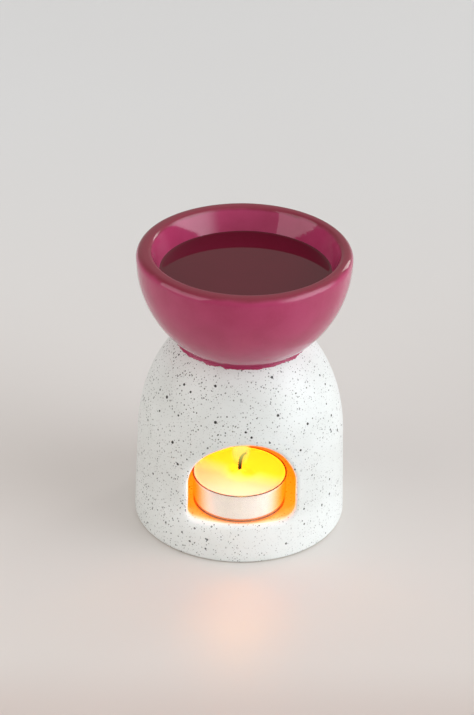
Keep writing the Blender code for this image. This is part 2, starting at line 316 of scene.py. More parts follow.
def speckled_glaze(flame_lamp):
    """Cool off-white satin glaze with iron specks that bleed a little brown, and the foot ring is bare clay.
    Painted flame light: the chamber's glaze is tinted orange and glows with the flame that stands near it.
    Fewer specks show towards +X, painted light for the brighter right side."""
    s = Shader("speckled_glaze_look")
    coords = s.coords()
    cloud = s.vary(14 * MM, 3.0, coords)
    body = s.mix(cloud, (0.775, 0.805, 0.785), (0.82, 0.85, 0.835))
    # Painted light: fewer specks show towards +X, as if the brighter right side washed them out; the noise
    # below thins them at random.
    show = s.ramp(s.axis(0, coords), -25 * MM, 35 * MM, 1.0, 0.62)
    show = s.math("MULTIPLY", show, s.ramp(s.noise(9 * MM, 2.0, coords), 0.38, 0.58, 0.45, 1.0))
    fine = specks(s, coords, 0.62 * MM, 0.19 * MM, 0.8)
    medium = specks(s, coords, 0.95 * MM, 0.31 * MM, 0.75, softness=0.1)
    halo = specks(s, coords, 2.4 * MM, 0.70 * MM, 0.34, softness=0.9)
    large = specks(s, coords, 2.4 * MM, 0.57 * MM, 0.36, softness=0.1)
    body = s.mix(s.math("MULTIPLY", s.math("MULTIPLY", fine, 0.55), show), body, (0.24, 0.21, 0.18))
    body = s.mix(s.math("MULTIPLY", halo, 0.22), body, (0.42, 0.35, 0.26))
    body = s.mix(s.math("MULTIPLY", medium, show), body, (0.030, 0.024, 0.022))
    body = s.mix(large, body, (0.010, 0.008, 0.007))
    # Painted flame light: the chamber's glaze is tinted orange and glows orange, most strongly near the
    # flame's lamp.
    chamber = s.node("Attribute", attribute_name="chamber").outputs["Fac"]
    warm = s.mix(1.0, body, (1.0, 0.60, 0.20), "MULTIPLY")
    body = s.mix(s.math("MULTIPLY", chamber, 0.85), body, warm)
    from_flame = s.node("VectorMath", {0: s.coords(flame_lamp)}, operation="LENGTH").outputs["Value"]
    from_flame = s.ramp(from_flame, 62 * MM, 12 * MM, 0.0, 2.4)
    lit_edge = s.node("Attribute", attribute_name="lit_edge").outputs["Fac"]
    # Painted highlight as well: lit_edge makes a white glow round the opening.
    s.set(Emission_Color=s.mix(chamber, (0.95, 0.98, 1.0), (1.0, 0.135, 0.001)))
    s.set(Emission_Strength=s.math("ADD", s.math("MULTIPLY", chamber, from_flame), lit_edge))
    height = s.axis(2, coords)
    bare = s.ramp(height, 0.55 * MM, 0.15 * MM)
    grain = s.noise(0.35 * MM, 4.0, coords, 0.7)
    clay = s.mix(grain, (0.50, 0.42, 0.33), (0.62, 0.55, 0.45))
    s.set(Base_Color=s.mix(bare, body, clay))
    rough = s.ramp(s.noise(5 * MM, 3.0, coords), 0.25, 0.75, 0.34, 0.46)
    rough = s.math("MAXIMUM", rough, s.math("MULTIPLY", bare, 0.85))
    dark = s.math("MAXIMUM", medium, large)
    s.set(Roughness=s.math("ADD", rough, s.math("MULTIPLY", dark, 0.2)))
    peel = s.bump(s.noise(1.3 * MM, 2.0, coords), 0.06 * MM, 0.35)
    pits = s.bump(s.math("SUBTRACT", 1.0, dark), 0.05 * MM, 0.5, peel)
    s.set(Normal=s.bump(s.math("MULTIPLY", grain, bare), 0.12 * MM, 0.6, pits))
    s.set(Specular_IOR_Level=0.5, Coat_Weight=0.25, Coat_Roughness=0.22)
    return s.mat


def plum_glaze():
    """Gloss raspberry glaze that thins to a browner tone where it breaks over the lip."""
    s = Shader("plum_glaze_look")
    coords = s.coords()
    height = s.axis(2, coords)
    cloud = s.vary(11 * MM, 3.0, coords)
    body = s.mix(cloud, (0.400, 0.036, 0.112), (0.445, 0.044, 0.134))
    mottle = s.ramp(s.noise(1.1 * MM, 4.0, coords, 0.65), 0.35, 0.75)
    body = s.mix(s.math("MULTIPLY", mottle, 0.08), body, (0.50, 0.08, 0.18))
    uneven = s.math("MULTIPLY", s.math("SUBTRACT", s.noise(6 * MM, 2.0, coords), 0.5), 1.2 * MM)
    lip = s.ramp(s.math("ADD", height, uneven), BOWL_TOP - 1.9 * MM, BOWL_TOP - 0.3 * MM)
    body = s.mix(s.math("MULTIPLY", lip, 0.85), body, (0.20, 0.012, 0.026))
    thin = s.ramp(height, NECK_Z + 7 * MM, NECK_Z + 2 * MM)
    iron = s.math("MULTIPLY", specks(s, coords, 1.6 * MM, 0.36 * MM, 0.5, softness=0.3), thin)
    s.set(Base_Color=s.mix(s.math("MULTIPLY", iron, 0.8), body, (0.09, 0.010, 0.020)))
    s.set(Roughness=s.vary(3 * MM, 3.0, coords, 0.30, 0.40))
    peel = s.bump(s.noise(2.6 * MM, 2.0, coords), 0.10 * MM, 0.22)
    s.set(Coat_Normal=s.bump(s.noise(0.5 * MM, 2.0, coords), 0.01 * MM, 0.25, peel))
    s.set(Specular_IOR_Level=0.04, Coat_Weight=1.0, Coat_Roughness=0.05, Coat_IOR=1.46)
    return s.mat


def melted_wax_look():
    """Deep clear plum liquid: nearly all of its look is what it mirrors."""
    s = Shader("melted_wax_look")
    coords = s.coords()
    depth = s.noise(16 * MM, 2.0, coords)
    s.set(Base_Color=s.mix(depth, (0.095, 0.0012, 0.010), (0.115, 0.0020, 0.014)))
    swirl = s.noise(9 * MM, 1.0, coords)
    s.set(Roughness=s.ramp(swirl, 0.3, 0.7, 0.010, 0.022))
    s.set(Normal=s.bump(swirl, 0.02 * MM, 0.05))
    s.set(Specular_IOR_Level=0.5, IOR=1.44)
    return s.mat


def candle_wax_look():
    """Paraffin with painted light: it glows yellow round and behind the wick, is cream in front, paler where
    painted daylight falls, and orange low at the sides with painted light from the chamber's walls."""
    s = Shader("candle_wax_look")
    coords = s.coords()
    away = s.node("VectorMath", {0: coords, 1: (0.0, CUP_Y, CANDLE_TOP)}, operation="DISTANCE")
    near = s.ramp(away.outputs["Value"], 9 * MM, 1.5 * MM)
    side = s.math("MULTIPLY", s.axis(0, coords), -0.45)
    front = s.math("ADD", s.math("SUBTRACT", CUP_Y, s.axis(1, coords)), side)
    front = s.ramp(front, -7 * MM, 10 * MM)
    front = s.math("MAXIMUM", s.math("SUBTRACT", front, s.math("MULTIPLY", near, 0.45)), 0.0)
    cloud = s.math("MULTIPLY", s.noise(4 * MM, 3.0, coords), 0.03)
    pale = s.mix(cloud, (0.93, 0.845, 0.71), (0.82, 0.73, 0.57))
    # Painted light from the chamber's orange walls, low on the candle's sides.
    sideways = s.ramp(s.math("ABSOLUTE", s.axis(0, coords)), 9 * MM, CUP_R - 1 * MM)
    low = s.ramp(s.axis(2, coords), CANDLE_TOP - 2.5 * MM, CANDLE_TOP - 3.2 * MM)
    sideways = s.math("MULTIPLY", sideways, low)
    # Painted daylight: the front of the candle turns paler and its glow whiter.
    daylit = s.ramp(s.axis(1, coords), CUP_Y - 6 * MM, CUP_Y - 15 * MM)
    pale = s.mix(daylit, pale, (0.93, 0.87, 0.78))
    # Painted flame light: emission yellow round and behind the wick, paler in front, orange at the sides.
    glow = s.mix(front, (1.0, 0.84, 0.02), s.mix(daylit, (1.0, 0.68, 0.74), (1.0, 0.84, 0.80)))
    s.set(Emission_Color=s.mix(sideways, glow, (1.0, 0.26, 0.0)))
    lit = s.ramp(front, 0.0, 1.0, 0.50, 0.14)
    s.set(Emission_Strength=s.math("ADD", lit, s.math("MULTIPLY", sideways, 0.50)))
    # Painted light in the base colour too: yellow round and behind the wick, orange low at the sides.
    s.set(Base_Color=s.mix(sideways, s.mix(front, (0.90, 0.70, 0.055), pale), (0.85, 0.36, 0.05)))
    s.set(Roughness=s.vary(2 * MM, 2.0, coords, 0.28, 0.33))
    s.set(Normal=s.bump(s.noise(2.5 * MM, 2.0, coords), 0.015 * MM, 0.12))
    s.set(Subsurface_Weight=0.15, Subsurface_Scale=0.002)
    s.bsdf.inputs["Subsurface Radius"].default_value = (1.0, 0.55, 0.25)
    return s.mat


def cup_plastic():
    """Clear moulded cup: see-through face on, orange at the sides and low down with painted light from the
    chamber's glow, glowing orange low down, with a dark line along its rim and foot."""
    s = Shader("cup_plastic_look")
    coords = s.coords()
    height = s.axis(2, coords)
    facing = s.node("LayerWeight", {"Blend": 0.35}).outputs["Facing"]
    rim = s.ramp(height, RIM_Z - 0.32 * MM, RIM_Z - 0.20 * MM)
    foot = s.ramp(height, CUP_Z + 0.40 * MM, CUP_Z + 0.20 * MM)
    edge = s.math("MAXIMUM", rim, foot)
    # Painted light: the chamber's orange glow on the cup's sides and low down.
    sideways = s.ramp(s.math("ABSOLUTE", s.axis(0, coords)), 12 * MM, CUP_R - 1 * MM)
    painted_low_glow = s.ramp(height, CUP_Z + 1.5 * MM, CUP_Z + 0.5 * MM)
    body = s.mix(s.math("MAXIMUM", sideways, painted_low_glow), (0.96, 0.92, 0.85), (1.0, 0.42, 0.06))
    s.set(Base_Color=s.mix(edge, body, (0.050, 0.036, 0.012)))
    haze = s.vary(3 * MM, 2.0, coords, 0.0, 0.02)
    clear = s.math("ADD", s.ramp(facing, 0.30, 1.0, 0.06, 0.35), haze, clamp=True)
    clear = s.math("MAXIMUM", clear, s.math("MULTIPLY", painted_low_glow, 0.6))
    s.set(Alpha=s.math("MAXIMUM", clear, s.math("MULTIPLY", edge, 0.9)))
    # Painted glow: the low band of the cup emits orange light.
    s.set(Emission_Color=(1.0, 0.34, 0.02))
    s.set(Emission_Strength=s.math("MULTIPLY", s.math("SUBTRACT", painted_low_glow, foot, clamp=True), 0.35))
    s.set(Roughness=s.vary(1 * MM, 2.0, coords, 0.05, 0.10))
    s.set(IOR=1.5)
    return s.mat


def charred_cotton():
    """Cotton soaked in wax low down and burnt black above, with a faint ember at the tip."""
    s = Shader("charred_cotton_look")
    coords = s.coords()
    fibre = s.noise(0.25 * MM, 5.0, coords, 0.7)
    height = s.axis(2, coords)
    burnt = s.mix(fibre, (0.004, 0.001, 0.0005), (0.016, 0.004, 0.001))
    soaked = s.mix(fibre, (0.10, 0.03, 0.006), (0.20, 0.07, 0.012))
    s.set(Base_Color=s.mix(s.ramp(height, CANDLE_TOP - 0.3 * MM, CANDLE_TOP + 0.6 * MM), soaked, burnt))
    ember = s.ramp(height, WICK_TOP - 2.2 * MM, WICK_TOP)
    s.set(Emission_Color=(1.0, 0.22, 0.02))
    s.set(Emission_Strength=s.math("MULTIPLY", ember, 0.06))
    s.set(Roughness=s.ramp(fibre, 0.3, 0.7, 0.75, 0.95))
    s.set(Normal=s.bump(fibre, 0.12 * MM, 0.8))
    return s.mat


def sustainer_metal():
    """Thin stamped metal with a fine uneven grain."""
    s = Shader("sustainer_metal_look")
    coords = s.coords()
    grain = s.noise(0.4 * MM, 3.0, coords)
    s.set(Base_Color=s.mix(grain, (0.62, 0.61, 0.59), (0.72, 0.71, 0.69)))
    s.set(Roughness=s.ramp(grain, 0.3, 0.7, 0.25, 0.4))
    s.set(Normal=s.bump(grain, 0.02 * MM, 0.3))
    s.set(Metallic=1.0)
    return s.mat


def flame_look():
    """Pale yellow glow, clearer low down; the shells add up towards the flame's middle."""
    s = Shader("flame_look")
    rise = s.ramp(s.axis(2), CANDLE_TOP + 2 * MM, CANDLE_TOP + 10 * MM, 0.016, 0.20)
    s.set(Base_Color=(0.0, 0.0, 0.0), Emission_Color=(1.0, 0.97, 0.22), Emission_Strength=1.0)
    s.set(Roughness=1.0, Specular_IOR_Level=0.0, Alpha=rise)
    return s.mat


# ---------- the base ----------

def seat_z(r):
    return BOWL_Z - BOWL_B * math.sqrt(1 - (r / BOWL_R) ** 2) - SEAT_GAP


def meeting(centre_b, half_w):
    """Radius where the ellipse of that half-width meets the bowl's seat."""
    low, high = 10 * MM, 35 * MM
    for _ in range(50):
        middle = (low + high) / 2
        above = SHOULDER_Z + centre_b * math.sqrt(1 - min(1.0, middle / half_w) ** 2) > seat_z(middle)
        low, high = (middle, high) if above else (low, middle)
    return low


def base_stretches():
    """The base's section as named stretches, from the shelf's middle to the underside's middle. Each
    is (points, rows): a fine polyline, and how many rows of faces it gets."""
    inner_top, neck = meeting(CHAMBER_B, CHAMBER_R), meeting(SHOULDER_B, SHOULDER_R)
    shelf_end = CHAMBER_R - FILLET
    inner_end, outer_end = math.acos(inner_top / CHAMBER_R), math.acos(neck / SHOULDER_R)
    oval_in = oval(SHOULDER_Z, CHAMBER_R, CHAMBER_B, spread(0, inner_end, 200))
    oval_out = oval(SHOULDER_Z, SHOULDER_R, SHOULDER_B, spread(outer_end, 0, 240))
    taper = straight((BASE_R, BASE_WIDEST_Z), (SHOULDER_R, SHOULDER_Z), spread(1.0, 0.0, 60))
    return {
        "shelf": ([(0.0, SHELF_Z), (shelf_end, SHELF_Z)], 14),
        "chamber_fillet": (arc(shelf_end, SHELF_Z + FILLET, FILLET, -PI / 2, 0, 40), 8),
        "chamber_wall": ([(CHAMBER_R, SHELF_Z + FILLET), (CHAMBER_R, SHOULDER_Z)] + oval_in, 44),
        "seat": ([(r, seat_z(r)) for r in spread(inner_top, neck, 12)], 4),
        "shoulder": (oval_out, 44),
        "taper": (taper, 24),
        "heel": ([(BASE_R, BASE_WIDEST_Z), (BASE_R, FOOT_CORNER)], 2),
        "foot_corner": (arc(FOOT_OUTER_R, FOOT_CORNER, FOOT_CORNER, 0, -PI / 2, 40), 6),
        "foot": ([(FOOT_OUTER_R, 0.0), (FOOT_INNER_R, 0.0)], 3),
        "recess_wall": ([(FOOT_INNER_R, 0.0), (RECESS_R, 1.0 * MM), (RECESS_R, RECESS_Z - FILLET)], 8),
        "recess_fillet": (arc(RECESS_R - FILLET, RECESS_Z - FILLET, FILLET, 0, PI / 2, 40), 6),
        "recess": ([(RECESS_R - FILLET, RECESS_Z), (0.0, RECESS_Z)], 10),
    }


class Section:
    """The base's section by distance along it, with the rows of the grid."""

    def __init__(self, stretches):
        points, self.start = [], {}
        marks = []
        for name, (line, rows) in stretches.items():
            self.start[name] = len(points)
            points += line
            marks.append((self.start[name], len(points) - 1, rows))
        self.points = np.array(points)
        steps = np.hypot(*np.diff(self.points, axis=0).T)
        self.s = np.concatenate([[0.0], np.cumsum(steps)])
        rows = [0.0]
        for first, last, count in marks:
            rows += list(np.linspace(self.s[first], self.s[last], count + 1))[1:]
        self.rows = np.array(rows)

    def at(self, s):
        return np.interp(s, self.s, self.points[:, 0]), np.interp(s, self.s, self.points[:, 1])

    def s_at_height(self, z, first, last):
        """Distance along, at height z, between two stretches where the height only rises or falls."""
        a, b = self.start[first], self.start[last]
        heights, along = self.points[a:b, 1], self.s[a:b]
        order = np.argsort(heights, kind="stable")
        return np.interp(z, heights[order], along[order])


def opening_outline(across, up):
    """(x, z) points round the front opening and their outward directions: across steps along the
    sill, up steps on the right, across over the arch and up on the left, from the lower left."""
    left, right = OPENING_X - OPENING_HALF_W, OPENING_X + OPENING_HALF_W
    small, large = OPENING_CORNERS
    corner_steps, arch_steps = 60, 400
    lower_left = arc(left + small, SHELF_Z + small, small, PI, 1.5 * PI, corner_steps)
    lower_right = arc(right - large, SHELF_Z + large, large, 1.5 * PI, 2 * PI, corner_steps)
    arch = []
    for a in spread(0.0, PI, arch_steps):
        rise = math.sin(a)
        arch.append((OPENING_X + OPENING_HALF_W * math.cos(a) + OPENING_LEAN * rise ** 2,
                     OPENING_SPRING_Z + (OPENING_TOP_Z - OPENING_SPRING_Z) * rise))
    middle, quarter = corner_steps // 2, arch_steps // 4
    stretches = [
        (lower_left[middle:] + lower_right[:middle + 1], across),
        (lower_right[middle:] + arch[:quarter + 1], up),
        (arch[quarter:3 * quarter + 1], across),
        (arch[3 * quarter:] + lower_left[:middle + 1], up),
    ]
    outline = []
    for line, count in stretches:
        line = np.array(line)
        along = np.concatenate([[0.0], np.cumsum(np.hypot(*np.diff(line, axis=0).T))])
        where = np.linspace(0.0, along[-1], count + 1)[:-1]
        outline += list(zip(np.interp(where, along, line[:, 0]), np.interp(where, along, line[:, 1])))
    points = np.array(outline)
    side = np.roll(points, -1, axis=0) - np.roll(points, 1, axis=0)
    normals = np.stack([side[:, 1], -side[:, 0]], 1) / np.hypot(*side.T)[:, None]
    wobble = np.array([noise.noise(Vector((x, z, 0.0)) / (9 * MM)) for x, z in points])
    wobble *= OPENING_WOBBLE * smooth(SHELF_Z + 1 * MM, SHELF_Z + 8 * MM, points[:, 1])
    return points + normals * wobble[:, None], normals


def base_shell(mat):
    """The dome: a grid of columns and rows turned from the section, in which the front opening is a
    window on the outside and on the chamber's side, joined by a tunnel with rounded edges."""
    columns, across, up = BASE_COLUMNS, 46, 42
    outer_rings, inner_rings, outer_round, inner_round = 9, 7, 8, 6
    section = Section(base_stretches())
    rows = section.rows
    step = 2 * PI / columns
    first_col = 1 - across // 2

    def row_near(s):
        return int(np.argmin(abs(rows - s)))

    outer_low = row_near(section.s_at_height(WINDOW_LOW_Z, "shoulder", "heel"))
    outer_high = outer_low - up
    inner_low = row_near(WINDOW_LOW_S)
    inner_high = inner_low + up
    verts, faces, index = [], [], {}

    def grid_vert(col, row):
        r, z = section.at(rows[row])
        key = (0 if r < 1e-7 else col % columns, row)
        if key not in index:
            index[key] = len(verts)
            verts.append(around(r, z, col * step))
        return index[key]

    def in_window(col, row):
        inside_cols = (col - first_col) % columns < across
        return inside_cols and (outer_high <= row < outer_low or inner_low <= row < inner_high)

    for row in range(len(rows) - 1):
        for col in range(columns):
            if in_window(col, row):
                continue
            ring = [grid_vert(col, row), grid_vert(col + 1, row),
                    grid_vert(col + 1, row + 1), grid_vert(col, row + 1)]
            faces.append(tuple(dict.fromkeys(ring)))

    outline, normals = opening_outline(across, up)
    count = len(outline)
    above_sill = smooth(SHELF_Z, SHELF_Z + 4 * MM, outline[:, 1])

    def window_edge(low, high):
        """Grid places round the window in the outline's order."""
        last_col = first_col + across
        toward = 1 if high > low else -1
        places = [(first_col + i, low) for i in range(across)]
        places += [(last_col, low + toward * i) for i in range(up)]
        places += [(last_col - i, high) for i in range(across)]
        places += [(first_col, high - toward * i) for i in range(up)]
        return places

    def loop_on_surface(shifted, first, last):
        """(angle, distance along the section) of (x, z) points on the outer or the chamber's wall."""
        s = section.s_at_height(shifted[:, 1], first, last)
        r = section.at(s)[0]
        return np.stack([np.arcsin(np.clip(shifted[:, 0] / r, -1, 1)), s], 1)

    def add_ring(points):
        start = len(verts)
        verts.extend(tuple(p) for p in points)
        return list(range(start, start + count))

    def surface_points(loop):
        r, z = section.at(loop[:, 1])
        return np.stack([r * np.sin(loop[:, 0]), -r * np.cos(loop[:, 0]), z], 1)

    def patch(low, high, loop, rings):
        """Rings between the opening's loop and the window's edge; returns the loop's ring first."""
        places = window_edge(low, high)
        edge = np.array([[col * step, rows[row]] for col, row in places])
        made = []
        for k in range(rings):
            share = (k / rings) ** PATCH_EASE
            made.append(add_ring(surface_points(loop + (edge - loop) * share)))
        made.append([grid_vert(col, row) for col, row in places])
        return made

    def depth_point(flat, depth, first, last):
        """Points of the tunnel: (x, z), moved along +Y by depth from the wall's surface."""
        placed = surface_points(loop_on_surface(flat, first, last))
        return np.stack([flat[:, 0], placed[:, 1] + depth, flat[:, 1]], 1)

    outside = ("shoulder", "foot_corner")
    inside = ("chamber_fillet", "seat")
    outer_loop = loop_on_surface(outline + normals * OUTER_EDGE_R, *outside)
    inner_flat = outline + normals * (INNER_EDGE_R * above_sill)[:, None]
    inner_loop = loop_on_surface(inner_flat, *inside)
    chain = patch(outer_low, outer_high, outer_loop, outer_rings)[::-1]
    for a in spread(PI / 2, 0.0, outer_round)[1:]:
        flat = outline + normals * OUTER_EDGE_R * (1 - math.cos(a))
        chain.append(add_ring(depth_point(flat, OUTER_EDGE_R * (1 - math.sin(a)), *outside)))
    near = depth_point(outline, OUTER_EDGE_R, *outside)
    far = depth_point(outline, -INNER_EDGE_R, *inside)
    chain.append(add_ring(near + (far - near) / 3))
    chain.append(add_ring(near + (far - near) * 2 / 3))
    for a in spread(0.0, PI / 2, inner_round)[:-1]:
        flat = outline + normals * (INNER_EDGE_R * (1 - math.cos(a)) * above_sill)[:, None]
        chain.append(add_ring(depth_point(flat, -INNER_EDGE_R * (1 - math.sin(a)), *inside)))
    chain += patch(inner_low, inner_high, inner_loop, inner_rings)
    for a, b in zip(chain, chain[1:]):
        bridge(faces, a, b)
    uneven = handmade(0.16 * MM, 30 * MM, 3.0)
    verts = [tuple(Vector(v) + uneven(Vector(v)) * float(smooth(1 * MM, 6 * MM, v[2]))) for v in verts]
    shell = closed_piece("base_shell", verts, faces, mat)
    mark_chamber(shell, section, outline)
    return shell


def store(piece, name, values):
    attribute = piece.data.attributes.new(name, "FLOAT", "POINT")
    attribute.data.foreach_set("value", np.asarray(values, np.float32))


def mark_chamber(shell, section, outline):
    """Stores two values on each vertex: chamber, from 0 outside to 1 in the chamber, and lit_edge, a
    white gleam round the opening that is strongest low down and to the left."""
    points = np.array([v.co for v in shell.data.vertices])
    radii = np.hypot(points[:, 0], points[:, 1])
    outer = section.at(section.s_at_height(points[:, 2], "shoulder", "foot_corner"))[0]
    inward = smooth(1.0 * MM, 2.4 * MM, outer - radii) * smooth(SHELF_Z - 1 * MM, SHELF_Z, points[:, 2])
    store(shell, "chamber", inward)
    flat = points[:, None, [0, 2]] - outline[None, :, :]
    away = np.hypot(flat[..., 0], flat[..., 1]).min(axis=1)
    leftward = 0.25 + 0.75 * smooth(4 * MM, -16 * MM, points[:, 0])
    close = 0.22 * np.exp(-away / (2.4 * MM)) * leftward * smooth(52 * MM, 34 * MM, points[:, 2])
    below = 0.13 * np.exp(-away / (14 * MM)) * smooth(24 * MM, 12 * MM, points[:, 2])
    outside = (1 - inward) * (points[:, 1] < 0) * smooth(-4 * MM, -2 * MM, radii - outer)
    store(shell, "lit_edge", (close + below) * outside)


# ---------- the bowl, its collar and the melted wax ----------

def bowl_inside_curve():
    """The bowl's spherical floor (centre height, radius) and where its leaning wall starts (r, z)."""
    lean_sin, lean_cos = math.sin(WALL_LEAN), math.cos(WALL_LEAN)
    wall_r = LIP_INNER_R - LIP_INNER_ROUND * lean_cos
    wall_z = BOWL_TOP - LIP_INNER_ROUND * (1 - lean_sin)
    centre_z = (BOWL_FLOOR_Z + wall_r * lean_cos - wall_z * lean_sin) / (1 - lean_sin)
    radius = centre_z - BOWL_FLOOR_Z
    return centre_z, radius, radius * lean_cos, centre_z - radius * lean_sin


def bowl_inner_r(z):
    centre_z, radius, wall_r, wall_z = bowl_inside_curve()
    if z >= wall_z:
        return wall_r + (z - wall_z) * math.tan(WALL_LEAN)
    return math.sqrt(max(0.0, radius ** 2 - (centre_z - z) ** 2))


def bowl_outer_r(z):
    return BOWL_R * math.sqrt(max(0.0, 1 - ((BOWL_Z - z) / BOWL_B) ** 2))


def thrown(point):
    """The bowl as thrown: a slow unevenness, and its hollow a little off centre."""
    moved = handmade(0.14 * MM, 26 * MM, 8.0)(point)
    radius = math.hypot(point.x, point.y)
    hollow = float(smooth(1.0 * MM, 4.5 * MM, bowl_outer_r(min(point.z, BOWL_Z)) - radius))
    moved.x += BOWL_SHIFT + HOLLOW_SHIFT * hollow
    return moved


def bowl_shell(mat):
    """The bowl: an oval outside, a rounded lip, and a leaning wall over a spherical floor."""
    centre_z, radius, wall_r, wall_z = bowl_inside_curve()
    profile = oval(BOWL_Z, BOWL_R, BOWL_B, spread(-PI / 2, 0.0, 70))
    profile[0] = (0.0, BOWL_BOTTOM)
    lip_w, lip_h = BOWL_R - LIP_OUTER_R, BOWL_TOP - BOWL_Z
    profile += oval(BOWL_Z, lip_w, lip_h, spread(0.0, PI / 2, 16)[1:], LIP_OUTER_R)
    lip_z = BOWL_TOP - LIP_INNER_ROUND
    profile += arc(LIP_INNER_R, lip_z, LIP_INNER_ROUND, PI / 2, PI - WALL_LEAN, 14)
    profile += straight((wall_r, wall_z), profile[-1], spread(1.0, 0.0, 14)[1:])
    profile += arc(0.0, centre_z, radius, -WALL_LEAN, -PI / 2, 40)[1:-1]
    profile.append((0.0, BOWL_FLOOR_Z))
    return turned("bowl_shell", profile, BOWL_SEGMENTS, mat, shift=thrown)


def glaze_collar(mat):
    """Glaze round the joint: a narrow hollow fillet from bowl to dome whose lower edge runs out in an
    uneven, slightly raised line."""
    segments = COLLAR_SEGMENTS
    slope = math.atan2(SHOULDER_B * NECK_R, SHOULDER_R * math.sqrt(SHOULDER_R ** 2 - NECK_R ** 2))
    down = (math.cos(slope), -math.sin(slope))
    out = (math.sin(slope), math.cos(slope))
    verts, faces, rings = [], [], []

    def on_dome(along, height):
        return (NECK_R + down[0] * along + out[0] * height, NECK_Z + down[1] * along + out[1] * height)

    for j in range(segments):
        angle = 2 * PI * j / segments
        place = Vector((math.sin(angle), -math.cos(angle), 0.0))
        slow = noise.noise(place * 1.7 + Vector((4.0, 0.0, 0.0)))
        mid = noise.noise(place * 7.0 + Vector((0.0, 9.0, 0.0)))
        fine = noise.noise(place * 26.0)
        reach = max(0.5 * MM, (1.1 + 0.6 * slow + 0.6 * mid + 0.35 * fine) * MM)
        thick = (0.30 + 0.12 * noise.noise(place * 12.0)) * MM
        top_z = NECK_Z + (0.9 + 0.3 * mid) * MM
        section = []
        for t in spread(0.0, 1.0, 14):
            z_bowl = top_z + (NECK_Z + 0.3 * MM - top_z) * t
            r_bowl = bowl_outer_r(z_bowl) - 0.05 * MM * (1 - t)
            r_dome, z_dome = on_dome(reach * 0.35 * t, thick)
            share = t * t * (3 - 2 * t)
            section.append((r_bowl * (1 - share) + r_dome * share, z_bowl * (1 - share) + z_dome * share))
        for t in spread(0.42, 1.0, 10):
            curl = max(0.0, (t - 0.80) / 0.20)
            section.append(on_dome(reach * t, thick * math.sqrt(max(0.0, 1 - curl ** 2)) - 0.12 * MM * curl))
        section.append((NECK_R - 1.2 * MM, NECK_Z - 0.9 * MM))
        section.append((NECK_R - 1.4 * MM, NECK_Z + 0.1 * MM))
        section.append((bowl_outer_r(top_z) - 1.0 * MM, top_z))
        rings.append(list(range(len(verts), len(verts) + len(section))))
        verts += [around(r, z, angle) for r, z in section]
    for a, b in zip(rings, rings[1:] + rings[:1]):
        bridge(faces, a, b)
    return closed_piece("glaze_collar", verts, faces, mat)


def wax_pool(mat):
    """Liquid wax with a small meniscus that climbs the wall."""
    climb, width, overlap = 0.30 * MM, 0.45 * MM, 0.06 * MM
    edge_z = WAX_Z + climb
    edge_r = bowl_inner_r(edge_z) + overlap
    profile = [(0.0, WAX_Z)]
    inner = bowl_inner_r(WAX_Z)
    for r in spread(1.5 * MM, inner - 4 * MM, 14) + spread(inner - 4 * MM, edge_r, 22)[1:]:
        profile.append((r, WAX_Z + climb * math.exp(-(edge_r - r) / width)))
    for z in spread(edge_z, BOWL_FLOOR_Z + 0.8 * MM, 24)[1:]:
        profile.append((bowl_inner_r(z) + overlap, z))
    profile.append((0.0, BOWL_FLOOR_Z + 0.5 * MM))
    beside = Vector((BOWL_SHIFT + HOLLOW_SHIFT, 0.0, 0.0))
    return turned("wax_pool", profile, POOL_SEGMENTS, mat, shift=lambda point: beside)


# ---------- the tealight ----------

def tealight_cup(mat):
    """Thin cup with a shallow hollow under its floor and a small bead for a rim."""
    bead, lip = 0.28 * MM, 0.12 * MM
    rim_top = RIM_Z - 0.17 * MM
    bottom_r, neck_r = CUP_R - CUP_TAPER, CUP_R - RIM_OUT
    inner_r = bottom_r - CUP_WALL
    floor_z = CUP_Z + CUP_HOLLOW + CUP_FLOOR
    profile = [(0.0, CUP_Z + CUP_HOLLOW), (bottom_r - 3.5 * MM, CUP_Z + CUP_HOLLOW)]
    profile += [(bottom_r - 3.0 * MM, CUP_Z + 0.7 * CUP_HOLLOW), (bottom_r - 2.4 * MM, CUP_Z)]
    profile += arc(bottom_r - CUP_CORNER, CUP_Z + CUP_CORNER, CUP_CORNER, -PI / 2, 0, 8)
    profile += straight((bottom_r, CUP_Z + CUP_CORNER), (neck_r, RIM_Z - 1.1 * MM), spread(0.1, 1.0, 10))
    profile += arc(CUP_R - bead, rim_top - bead, bead, -PI / 3, PI / 2, 6)
    profile += arc(neck_r - CUP_WALL + lip, rim_top - lip, lip, PI / 2, PI, 3)
    profile += arc(inner_r - CUP_CORNER, CUP_Z + CUP_FLOOR + CUP_CORNER, CUP_CORNER, 0, -PI / 2, 8)
    profile += [(bottom_r - 3.6 * MM, floor_z), (0.0, floor_z)]
    return turned("tealight_cup_shell", profile, CANDLE_SEGMENTS, mat, CUP_Y)


